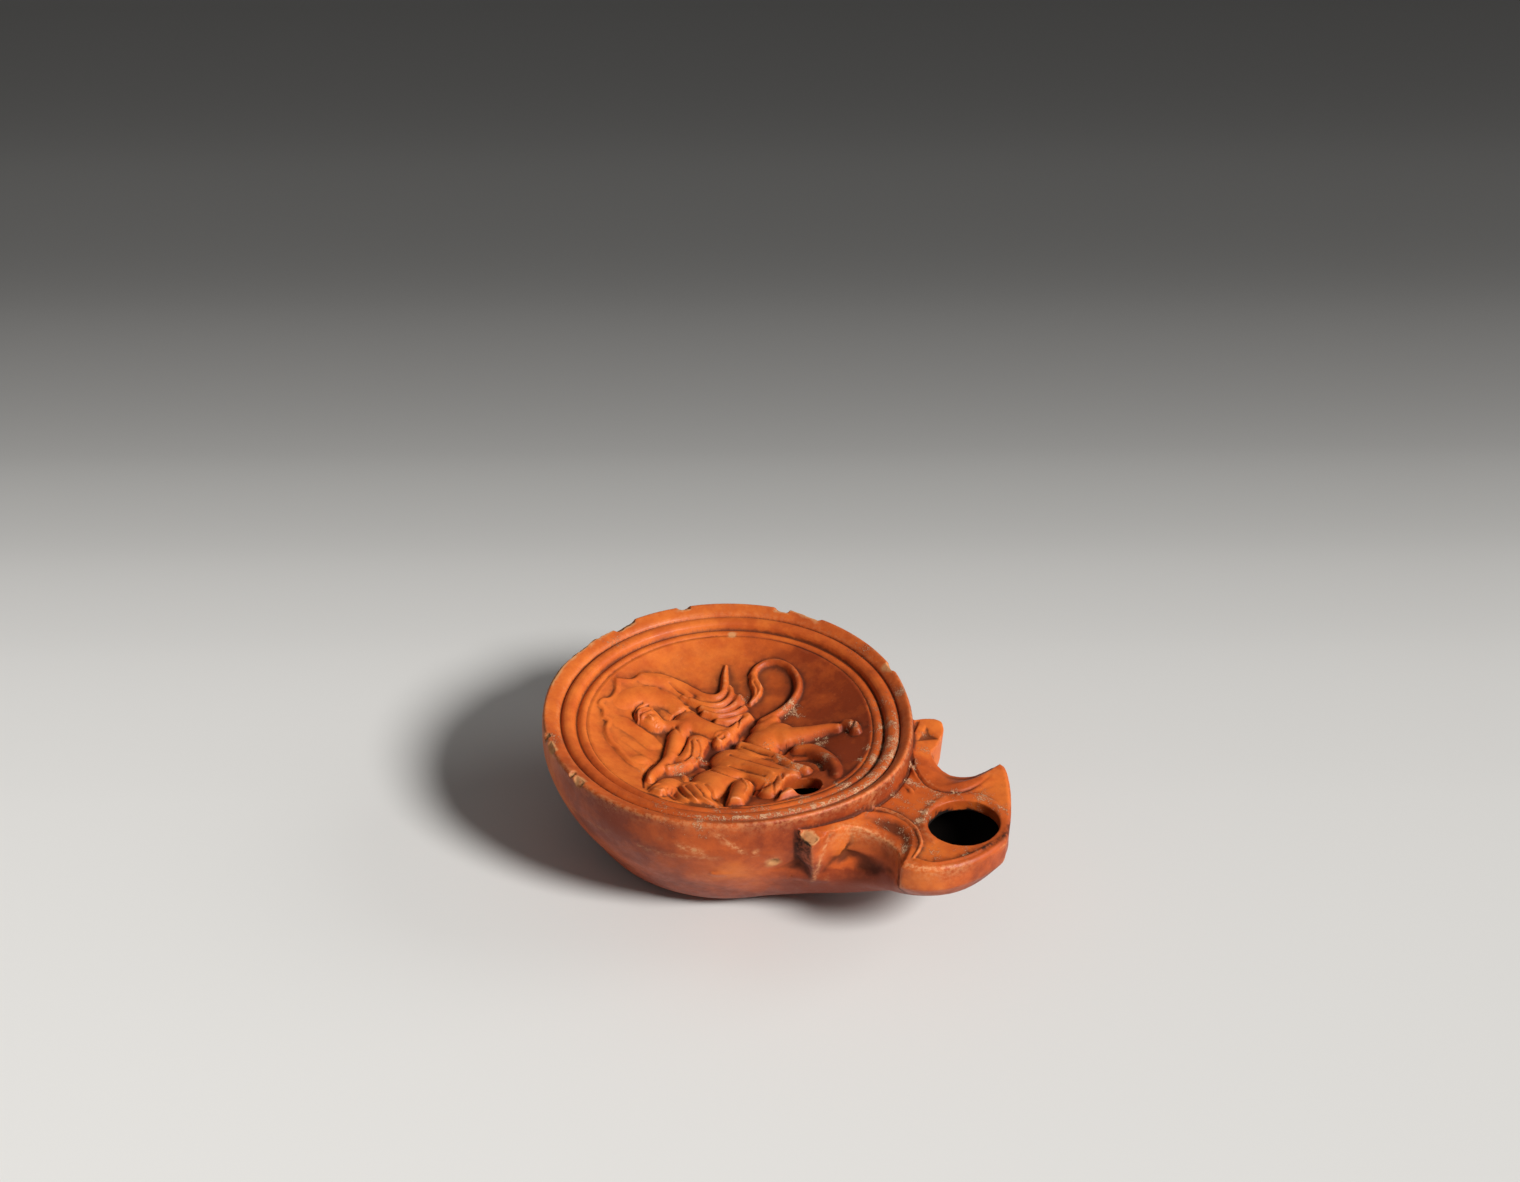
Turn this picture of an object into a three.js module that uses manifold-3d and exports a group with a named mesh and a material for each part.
// A Roman volute lamp, pressed in a two-part mould from red-slipped terracotta.
// One hollow piece: a round bowl closed by a sunken discus with a figured relief, and a broad
// nozzle flanked by two volutes. Millimetres, +Z up, the nozzle points along +X, and the origin
// is at the centre of the flat base.
import * as THREE from "three";
import { mergeVertices } from "three/addons/utils/BufferGeometryUtils.js";
import Module from "manifold-3d";

const wasm = await Module();
wasm.setup();

// ---- driving sizes ----
const lampHeight = 31;          // base to the top of the rim
const rimRadius = 36.8;         // outer edge of the rim
const wall = 3.1;               // thickness of the clay
const turnSteps = 64;           // facets round the bowl

// the rim is drawn out a little toward the nozzle, like the blunt end of an egg
const eggReach = 2.6;
const eggSpread = 0.52;
const eggFrom = 24;
const eggTo = 31;

// mouldings on the rim, from the outside in
const lipDrop = 0.4;
const outerGroove = 34.65;
const outerGrooveDeep = 0.65;
const ringInner = 31.3;
const ringDrop = 0.85;
const innerGroove = 30.9;
const innerGrooveDeep = 1.5;
const beadInner = 29.5;
const beadDrop = 1.1;
const discusRadius = 28.5;
const discusEdgeDrop = 1.75;

// the sunken discus
const discusDeep = 8;
const discusPower = 2.3;
const discusCells = 38;
const seatDeep = 0.9;           // how far the relief disc is let into the bowl's top
const figureU = -1.3;           // where the figure's own drawing is set down on the disc
const figureV = -0.9;

// base
const baseRadius = 17.6;
const baseGroove = 14.6;
const baseGrooveDeep = 0.5;
const baseGrooveHalf = 0.7;

// nozzle
const nozzleTop = 26.6;
const ribbonEdge = 25.4;
const voluteRise = 1.5;         // how far the volutes stand above the nozzle's top
const rootX = 24;
const tipX = 67;
const cornerX = 54.5;
const cornerY = 18.8;
const wornCorner = 2.6;         // how far the far front edge is worn back
const wickX = 56.9;
const wickRadius = 7.15;
const fillX = 24.5;
const fillY = -8.6;
const fillRadius = 3.45;
const eyeX = 35.9;              // the dished eye on top of the far volute
const eyeY = 20.2;
const eyeHalf = 2.3;
const eyeDeep = 0.9;

// ---- helpers ----
function smoothStep(from, to, value) {
  const t = Math.min(Math.max((value - from) / (to - from), 0), 1);
  return t * t * (3 - 2 * t);
}

function drawOut(x, y) {
  const angle = Math.atan2(y, x) / eggSpread;
  return x + eggReach * Math.exp(-angle * angle) * smoothStep(eggFrom, eggTo, Math.hypot(x, y));
}

function moveVertices(geometry, move) {
  const spots = geometry.attributes.position;
  for (let i = 0; i < spots.count; i += 1) {
    const [x, y, z] = move(spots.getX(i), spots.getY(i), spots.getZ(i));
    spots.setXYZ(i, x, y, z);
  }
  return geometry;
}

function solidOf(geometry) {
  geometry.deleteAttribute("normal");
  geometry.deleteAttribute("uv");
  const merged = mergeVertices(geometry, 1e-4);
  const index = merged.index.array;
  const kept = [];
  for (let i = 0; i < index.length; i += 3) {
    const [a, b, c] = [index[i], index[i + 1], index[i + 2]];
    if (a !== b && b !== c && c !== a) kept.push(a, b, c);
  }
  const vertProperties = new Float32Array(merged.attributes.position.array);
  const triVerts = new Uint32Array(kept);
  return new wasm.Manifold(new wasm.Mesh({ numProp: 3, vertProperties, triVerts }));
}

function geometryOf(solid) {
  const mesh = solid.getMesh();
  const geometry = new THREE.BufferGeometry();
  geometry.setAttribute("position", new THREE.BufferAttribute(mesh.vertProperties, 3));
  geometry.setIndex(new THREE.BufferAttribute(mesh.triVerts, 1));
  geometry.computeVertexNormals();
  return geometry;
}

function spun(profile, steps) {
  const points = profile.map(([radius, height]) => new THREE.Vector2(radius, height));
  return new THREE.LatheGeometry(points, steps).rotateX(Math.PI / 2);
}

// ---- bowl ----
function discusFloor(radius) {
  const t = Math.min(radius / discusRadius, 1);
  const drop = discusEdgeDrop + (discusDeep - discusEdgeDrop) * (1 - t ** discusPower);
  return lampHeight - drop;
}

// the wall of the bowl from the foot to the lip
const bowlCurve = new THREE.SplineCurve([
  new THREE.Vector2(baseRadius + 0.3, 0.6),
  new THREE.Vector2(22.4, 1.3),
  new THREE.Vector2(26.4, 3.2),
  new THREE.Vector2(30.4, 9),
  new THREE.Vector2(34.1, 15),
  new THREE.Vector2(36.6, 21),
  new THREE.Vector2(37.5, 25),
  new THREE.Vector2(rimRadius, lampHeight - lipDrop),
]);

const wallPoints = bowlCurve.getPoints(12).map((p) => [p.x, p.y]);

function bowlGeometry() {
  const seat = [1, 0.8, 0.55, 0.28].map((share) => {
    const radius = discusRadius * share;
    return [radius, discusFloor(radius) - seatDeep];
  });
  const profile = [
    [0, 0],
    [baseGroove - baseGrooveHalf, 0],
    [baseGroove, baseGrooveDeep],
    [baseGroove + baseGrooveHalf, 0],
    [baseRadius, 0],
    ...wallPoints,
    [rimRadius - 0.5, lampHeight],
    [outerGroove + 0.35, lampHeight - 0.1],
    [outerGroove, lampHeight - outerGrooveDeep],
    [outerGroove - 0.4, lampHeight - 0.15],
    [33, lampHeight - 0.1],
    [ringInner, lampHeight - ringDrop],
    [innerGroove, lampHeight - innerGrooveDeep],
    [innerGroove - 0.4, lampHeight - beadDrop],
    [beadInner, lampHeight - beadDrop],
    [discusRadius, lampHeight - discusEdgeDrop + 0.15],
    ...seat,
    [0, discusFloor(0) - seatDeep],
  ];
  return moveVertices(spun(profile, turnSteps), (x, y, z) => [drawOut(x, y), y, z]);
}

// ---- relief, in plan: u to the figure's right hand side of the disc, v up, away from the nozzle ----
// A rider in a wind-blown mantle on a leaping long-tailed beast, facing left.
const mantle = { u: -3.5, v: 13, radius: 12.9, lobes: 8, lobe: 0.55, peak: 1.9, peakAt: 1.25, rise: 0.95 };
const forms = [
  { name: "mantle over the arm", path: [[-17.6, 12], [-16.6, 9]], wide: [2.6, 1.6], high: [1, 1.2] },
  { name: "head", path: [[-4.6, 14.6], [-4, 17]], wide: [3.1, 3.9], high: [2.5, 2.6] },
  { name: "neck", path: [[-3.6, 12.4], [-2.2, 10]], wide: [2.2, 2.6], high: [2, 2.1] },
  { name: "hair behind", path: [[0.6, 20.6], [1.8, 14.6]], wide: [1.6, 2.3], high: [1.6, 1.8] },
  { name: "torso", path: [[-0.6, 9], [0.4, 5], [-0.4, 2.4]], wide: [5.4, 5, 4], high: [2.2, 2.2, 2] },
  { name: "upper arm", path: [[-5, 7.6], [-9.6, 4.6]], wide: [3.6, 4], high: [2.3, 2.2] },
  { name: "forearm", path: [[-11, 5], [-18, 4.3], [-24.6, 2.4]], wide: [2.9, 1.7, 1.3], high: [2.3, 2, 1.4] },
  { name: "sleeve end", path: [[-11, 1.6], [-16.4, 2.2]], wide: [2, 1.6], high: [2, 1.8] },
  { name: "fold 1", path: [[6.6, 17], [8.2, 10.6], [12.4, 8.8], [17.8, 12.2]], wide: [1.6, 1.5, 0.5], high: [1.5, 1.5, 0.8] },
  { name: "fold 2", path: [[5.4, 13], [7.2, 7.6], [10.6, 6.6], [13.8, 8.2]], wide: [1.4, 1.2, 0.9], high: [1.5, 1.4, 0.9] },
  { name: "fold 3", path: [[4, 10], [6, 5.4], [9.4, 3.2], [13.2, 4.6]], wide: [1.6, 1.6, 1], high: [1.6, 1.5, 1] },
  { name: "hip", path: [[3.6, 3], [8, 0.6]], wide: [2.6, 1.2], high: [1.8, 1.3] },
  { name: "haunch", path: [[3.6, -6], [6.6, -8.4]], wide: [4.6, 5.2], high: [2.3, 2.4] },
  { name: "near leg", path: [[6, -9], [10, -14], [12.6, -18.6]], wide: [4.6, 3.2, 1.7], high: [2.3, 2, 1.5] },
  { name: "near paw", path: [[13, -19], [14, -22.4]], wide: [1.7, 2.1], high: [1.5, 2] },
  { name: "far leg", path: [[1.6, -13.6], [5.2, -17.4], [3.2, -24], [-1.6, -26.4]], wide: [2.2, 2.5, 1.6, 1.2], high: [1.5, 1.7, 1.5, 1] },
  { name: "skirt", path: [[-5.6, -5.4], [-6.6, -15.4]], wide: [5.6, 6], high: [2.2, 2.2] },
  { name: "hem", path: [[-13.8, -19.4], [-9, -20.4], [-3.4, -18.6]], wide: [2.2, 2.6, 2.2], high: [1.3, 1.7, 1.6] },
  { name: "neck of the beast", path: [[-24.8, -2], [-18, -6.4]], wide: [3, 5.6], high: [1.7, 2.1] },
  { name: "chest", path: [[-23, -9], [-19, -7]], wide: [3.8, 5], high: [1.5, 1.9] },
  { name: "foreleg", path: [[-13.8, -12.6], [-19.4, -15.2]], wide: [3.2, 2.6], high: [2.5, 2.3] },
  { name: "tail", path: [[9, -3.9], [15, -5.6], [21.4, -4], [24.4, 0.6], [23.6, 4.8], [20.4, 6.2]], wide: [1.2, 1, 0.9], high: [1.5, 1.3, 1] },
  { name: "tail tuft", path: [[20.2, 6], [17.8, 4], [15.6, 2.3], [11.8, 1.9]], wide: [1, 1.5, 0.6], high: [1.1, 1.4, 0.8] },
];
const cuts = [
  { name: "sleeve fold 1", path: [[-4.6, 7.4], [-7.4, 5], [-11, 4]], wide: [0.8, 0.8], high: [0.7, 0.6] },
  { name: "sleeve fold 2", path: [[-3.4, 5.4], [-6.4, 2.8], [-10.4, 1.9]], wide: [0.8, 0.8], high: [0.7, 0.6] },
  { name: "skirt fold 1", path: [[-9.6, -4.6], [-9.2, -12], [-9.8, -18]], wide: [0.8, 0.9], high: [0.5, 0.8] },
  { name: "skirt fold 2", path: [[-6.4, -4], [-6.2, -12], [-7, -18]], wide: [0.8, 0.9], high: [0.5, 0.8] },
  { name: "skirt fold 3", path: [[-3.4, -4], [-3.4, -12], [-4.4, -17.4]], wide: [0.8, 0.9], high: [0.5, 0.8] },
  { name: "mane 1", path: [[-20.6, -4.6], [-23.4, -9], [-24, -12.4]], wide: [0.8, 0.8], high: [0.5, 0.5] },
];

function levelAt(list, share) {
  const spot = share * (list.length - 1);
  const first = Math.min(Math.floor(spot), list.length - 2);
  return THREE.MathUtils.lerp(list[first], list[first + 1], spot - first);
}

function track(form) {
  const line = new THREE.SplineCurve(form.path.map(([u, v]) => new THREE.Vector2(u, v)));
  const count = 6 * form.path.length;
  return line.getPoints(count).map((p, i) => ({
    u: p.x,
    v: p.y,
    wide: levelAt(form.wide, i / count),
    high: levelAt(form.high, i / count),
  }));
}

const formTracks = forms.map(track);
const cutTracks = cuts.map(track);

// height of a rounded form above the floor: the highest of the domes strung along its line
function alongTrack(spots, u, v) {
  let best = 0;
  for (const spot of spots) {
    const far = ((u - spot.u) ** 2 + (v - spot.v) ** 2) / spot.wide ** 2;
    if (far < 1) best = Math.max(best, spot.high * (1 - far) ** 0.45);
  }
  return best;
}

function mantleHeight(u, v) {
  const angle = Math.atan2(v - mantle.v, u - mantle.u);
  const reach = Math.hypot(u - mantle.u, v - mantle.v);
  const turned = Math.abs(angle - mantle.peakAt) * 4;
  const edge = mantle.radius
    + mantle.lobe * Math.abs(Math.sin(mantle.lobes * 0.5 * angle + 0.6))
    + mantle.peak * Math.exp(-turned * turned);
  const above = smoothStep(mantle.v - 5, mantle.v - 1, v + 0.25 * Math.abs(u - mantle.u));
  return mantle.rise * (1 - smoothStep(edge - 1.4, edge + 0.3, reach)) * above;
}

function reliefHeight(discU, discV) {
  const [u, v] = [discU - figureU, discV - figureV];
  let raised = mantleHeight(u, v);
  for (const spots of formTracks) raised = Math.max(raised, alongTrack(spots, u, v));
  let cut = 0;
  for (const spots of cutTracks) cut = Math.max(cut, alongTrack(spots, u, v));
  const room = 1 - smoothStep(discusRadius - 1.6, discusRadius - 0.4, Math.hypot(discU, discV));
  return Math.max(raised - cut, 0) * room;
}

// a square grid drawn round into a disc, so that its cells stay even in size
function discPoint(x, y) {
  if (x === 0 && y === 0) return [0, 0];
  if (Math.abs(x) > Math.abs(y)) {
    const turn = (Math.PI / 4) * (y / x);
    return [x * Math.cos(turn), x * Math.sin(turn)];
  }
  const turn = Math.PI / 2 - (Math.PI / 4) * (x / y);
  return [y * Math.cos(turn), y * Math.sin(turn)];
}

function discusGeometry() {
  const letIn = 0.6;
  const grid = new THREE.BoxGeometry(2, 2, 2, discusCells, discusCells, 1);
  return moveVertices(grid, (x, y, z) => {
    const [dx, dy] = discPoint(x, y).map((part) => part * (discusRadius + letIn));
    const floor = discusFloor(Math.hypot(dx, dy));
    const height = z > 0 ? floor + reliefHeight(dy, -dx) : floor - 2 * seatDeep;
    return [drawOut(dx, dy), dy, height];
  });
}

// ---- nozzle ----
// Each side of its plan, given as if it were the +Y side. The far volute is whole and round; the
// near one has lost its outer curl and is a blunt spur, and the far front edge is worn straight.
const farSide = {
  voluteFrom: [31.7, 21.4],
  voluteOut: [37.6, 29],
  voluteTo: [39.2, 16.9],
  waist: [39.7, 14.1],
  bayIn: [43, 11],
  bayOut: [49.6, 11.2],
  worn: wornCorner,
};
const nearSide = {
  voluteFrom: [30.2, 21.4],
  voluteOut: [36.9, 25.8],
  voluteTo: [37.6, 17.6],
  waist: [38.2, 14.8],
  bayIn: [42, 11.2],
  bayOut: [49, 9.8],
  worn: 0,
};
const stepsAlong = { root: 2, volute: 5, waist: 1, bay: 8, front: 8 };
const bodySide = 18.4;          // half width of the underside beside the bays

function along(points) {
  return points.map(([x, y]) => new THREE.Vector2(x, y));
}

function sampled(curves) {
  return curves.flatMap(([curve, steps]) => curve.getPoints(steps).slice(0, steps));
}

function frontCurve(corner, worn, inset) {
  return new THREE.CubicBezierCurve(...along([
    corner,
    [62 - worn - inset, 17 - 0.4 * worn - inset],
    [67 - 0.9 * worn - inset, 8.5 - worn],
    [tipX - inset, 0],
  ]));
}

// half of the outline from the bowl to the tip: volute, bay, corner and front
function halfOutline(level, side) {
  const filled = ([x, y]) => [x, THREE.MathUtils.lerp(bodySide, y, level.bay) + level.draft];
  const curled = ([x, y]) => [x, THREE.MathUtils.lerp(bodySide, y, level.volute)];
  const points = {
    from: curled(side.voluteFrom),
    out: curled(side.voluteOut),
    to: curled(side.voluteTo),
    waist: filled(side.waist),
    corner: [cornerX, cornerY],
  };
  const outline = sampled([
    [new THREE.LineCurve(...along([[rootX, 15], points.from])), stepsAlong.root],
    [new THREE.QuadraticBezierCurve(...along([points.from, points.out, points.to])), stepsAlong.volute],
    [new THREE.LineCurve(...along([points.to, points.waist])), stepsAlong.waist],
    [
      new THREE.CubicBezierCurve(
        ...along([points.waist, filled(side.bayIn), filled(side.bayOut), points.corner]),
      ),
      stepsAlong.bay,
    ],
    [frontCurve(points.corner, side.worn, 0), stepsAlong.front],
  ]);
  return outline.map((p) => [rootX + (p.x - rootX) * level.reach, p.y * level.spread]);
}

// the inner edge of the ribbon that borders the bay, in along the rim and out to the corner
function halfCrest(side, inset) {
  const corner = [cornerX + 0.2 + inset, cornerY - 0.5 - inset];
  const outline = sampled([
    [new THREE.LineCurve(...along([[rootX, 13 - inset], [30, 15 - inset]])), stepsAlong.root],
    [new THREE.LineCurve(...along([[30, 15 - inset], [36.6, 11.6 - inset]])), stepsAlong.volute],
    [new THREE.LineCurve(...along([[36.6, 11.6 - inset], [38, 10 - inset]])), stepsAlong.waist],
    [
      new THREE.CubicBezierCurve(
        ...along([[38, 10 - inset], [42.6, 4.5 - inset], [51.6, 3.8 - inset], corner]),
      ),
      stepsAlong.bay,
    ],
    [frontCurve(corner, side.worn, 0.6 + 0.3 * inset), stepsAlong.front],
  ]);
  return outline.map((p) => [p.x, p.y]);
}

// the wall under the ribbons, down to the ledge below each bay
const wallLevels = [
  { height: 21.4, reach: 0.99, spread: 0.99, bay: 1, draft: 1.9, volute: 0.8 },
  { height: 20, reach: 0.975, spread: 0.97, bay: 0.75, draft: 1, volute: 0.6 },
];

// the underside, which swells out of the bowl: tip is its end, spread and power how its reach
// falls off with angle, and notch how deep the bay still cuts into it
const underLevels = [
  { height: 17.4, tip: 63.8, spread: 0.42, power: 3, notch: 2.7 },
  { height: 14.5, tip: 60.1, spread: 0.43, power: 2.4, notch: 1.3 },
  { height: 11.5, tip: 54.7, spread: 0.4, power: 2, notch: 0 },
  { height: 9, tip: 47.2, spread: 0.45, power: 2, notch: 0 },
  { height: 6, tip: 39.9, spread: 0.48, power: 2, notch: 0 },
  { height: 3.8, tip: 33.5, spread: 0.5, power: 2, notch: 0 },
  { height: 2.4, tip: 27, spread: 0.5, power: 2, notch: 0 },
];
const underSunk = 0.3;          // how far its root lies inside the bowl
const underFrom = 1.05;         // angle of its root, and of the next point
const underNext = 0.85;
const bayX = 45;
const bayHalf = 6.5;

function bowlRadius(height) {
  const above = wallPoints.findIndex(([, level]) => level >= height);
  const [[lowRadius, low], [highRadius, high]] = [wallPoints[above - 1], wallPoints[above]];
  return THREE.MathUtils.mapLinear(height, low, high, lowRadius, highRadius);
}

function halfUnder(level, above) {
  const round = bowlRadius(level.height) - underSunk;
  const spotAt = (angle) => {
    const reach = round + (level.tip - round) * Math.exp(-((angle / level.spread) ** level.power));
    return [reach * Math.cos(angle), reach * Math.sin(angle)];
  };
  const angleAt = (x) => {
    let [low, high] = [0, underNext];
    for (let i = 0; i < 24; i += 1) {
      const middle = (low + high) / 2;
      if (spotAt(middle)[0] > x) low = middle;
      else high = middle;
    }
    return low;
  };
  const share = (level.tip - rootX) / (tipX - rootX);
  return above.map(([x], i) => {
    if (i === 0) return spotAt(underFrom);
    if (i === 1) return spotAt(underNext);
    const [spotX, spotY] = spotAt(angleAt(rootX + (x - rootX) * share));
    const cut = level.notch * Math.exp(-(((spotX - bayX) / bayHalf) ** 2));
    return [spotX, spotY - cut];
  });
}

// closes two half outlines into a loop: up one side to the tip and back down the other
function loopOf(nearHalf, farHalf, tip) {
  const near = nearHalf.map(([x, y]) => [x, -y]);
  return [...near, tip, ...[...farHalf].reverse()];
}

// stacks loops of equal point count into one closed body; heights are functions of x, y
function stacked(loops, heights) {
  const sides = loops[0].length;
  const rows = loops.length - 1;
  const drum = new THREE.CylinderGeometry(1, 1, 1, sides, rows).rotateX(Math.PI / 2);
  return moveVertices(drum, (x, y, z) => {
    const row = Math.round((0.5 - z) * rows);
    const spotsX = loops[row].map(([spotX]) => spotX);
    const middle = (Math.min(...spotsX) + Math.max(...spotsX)) / 2;
    const turn = Math.atan2(y, x) / (2 * Math.PI) + 1;
    const spot = Math.hypot(x, y) < 0.5 ? [middle, 0] : loops[row][Math.round(turn * sides) % sides];
    return [...spot, heights[row](...spot)];
  });
}

function nozzleGeometry() {
  const rise = (x) => smoothStep(26, 31, x) - smoothStep(35.5, 47, x);
  const loops = [
    loopOf(halfCrest(nearSide, 0.7), halfCrest(farSide, 0.7), [tipX - 0.8, 0]),
    loopOf(halfCrest(nearSide, 0), halfCrest(farSide, 0), [tipX - 0.6, 0]),
  ];
  const heights = [() => nozzleTop, (x) => nozzleTop + 0.1 + voluteRise * rise(x)];
  const edge = { reach: 1, spread: 1, bay: 1, draft: 0, volute: 1 };
  const [nearEdge, farEdge] = [halfOutline(edge, nearSide), halfOutline(edge, farSide)];
  loops.push(loopOf(nearEdge, farEdge, [tipX, 0]));
  heights.push((x) => ribbonEdge + (voluteRise + 1) * rise(x) + 0.5 * smoothStep(49, 54, x));
  for (const level of wallLevels) {
    const tip = [rootX + (tipX - rootX) * level.reach, 0];
    loops.push(loopOf(halfOutline(level, nearSide), halfOutline(level, farSide), tip));
    heights.push(() => level.height);
  }
  for (const level of underLevels) {
    loops.push(loopOf(halfUnder(level, nearEdge), halfUnder(level, farEdge), [level.tip, 0]));
    heights.push(() => level.height);
  }
  return stacked(loops, heights);
}

// ---- hollow ----
function reservoirGeometry() {
  const outer = bowlCurve.getPoints(8).map((p) => [p.x - wall, p.y + 0.45 * wall]);
  const kept = outer.filter(([, height]) => height < lampHeight - 7);
  const roof = [1, 0.8, 0.5].map((share) => {
    const radius = discusRadius * share;
    return [radius, discusFloor(radius) - wall];
  });
  const profile = [
    [0, wall],
    [baseRadius - wall, wall],
    ...kept,
    [discusRadius + 3.4, lampHeight - 5.2],
    ...roof,
    [0, discusFloor(0) - wall],
  ];
  return spun(profile, 40);
}

function channelGeometry() {
  const inner = (reach, spread) => {
    const points = [[16, 10], [30, 12.4], [41, 10.6], [47, 9], [53, 11.4], [58, 10.8], [61.6, 7.8], [63.5, 4]];
    return points.map(([x, y]) => [16 + (x - 16) * reach, y * spread]);
  };
  const steps = [[23.6, 1, 1], [19.6, 0.98, 0.98], [16.4, 0.84, 0.84], [12.4, 0.66, 0.7], [8, 0.36, 0.5]];
  const loops = steps.map(([, reach, spread]) => {
    const half = inner(reach, spread);
    return loopOf(half, half, [16 + 48 * reach, 0]);
  });
  return stacked(loops, steps.map(([height]) => () => height));
}

function shaft(x, y, radius, bottom, top, sides) {
  const drum = new THREE.CylinderGeometry(radius, radius, top - bottom, sides).rotateX(Math.PI / 2);
  return drum.translate(x, y, (bottom + top) / 2);
}

// a shallow dish, as a cap of a ball that dips below a level
function dish(x, y, half, deep, level) {
  const ballRadius = (half * half + deep * deep) / (2 * deep);
  const ball = new THREE.SphereGeometry(ballRadius, 18, 12).rotateX(Math.PI / 2);
  return ball.translate(x, y, level - deep + ballRadius);
}

// ---- the lamp ----
const shell = solidOf(bowlGeometry())
  .add(solidOf(nozzleGeometry()))
  .add(solidOf(discusGeometry()));
const hollow = solidOf(reservoirGeometry()).add(solidOf(channelGeometry()));
const lamp = shell
  .subtract(hollow)
  .subtract(solidOf(shaft(wickX, 0, wickRadius, nozzleTop - 6, nozzleTop + 3, 36)))
  .subtract(solidOf(shaft(fillX, fillY, fillRadius, lampHeight - 11, lampHeight + 1, 20)))
  .subtract(solidOf(dish(eyeX, eyeY, eyeHalf, eyeDeep, nozzleTop + voluteRise)));

const slippedTerracotta = new THREE.MeshStandardMaterial({
  name: "slipped terracotta",
  color: "#b8502a",
  roughness: 0.5,
  metalness: 0,
});
const lampMesh = new THREE.Mesh(geometryOf(lamp), slippedTerracotta);
lampMesh.name = "lamp";

const part = new THREE.Group();
part.add(lampMesh);
export default part;
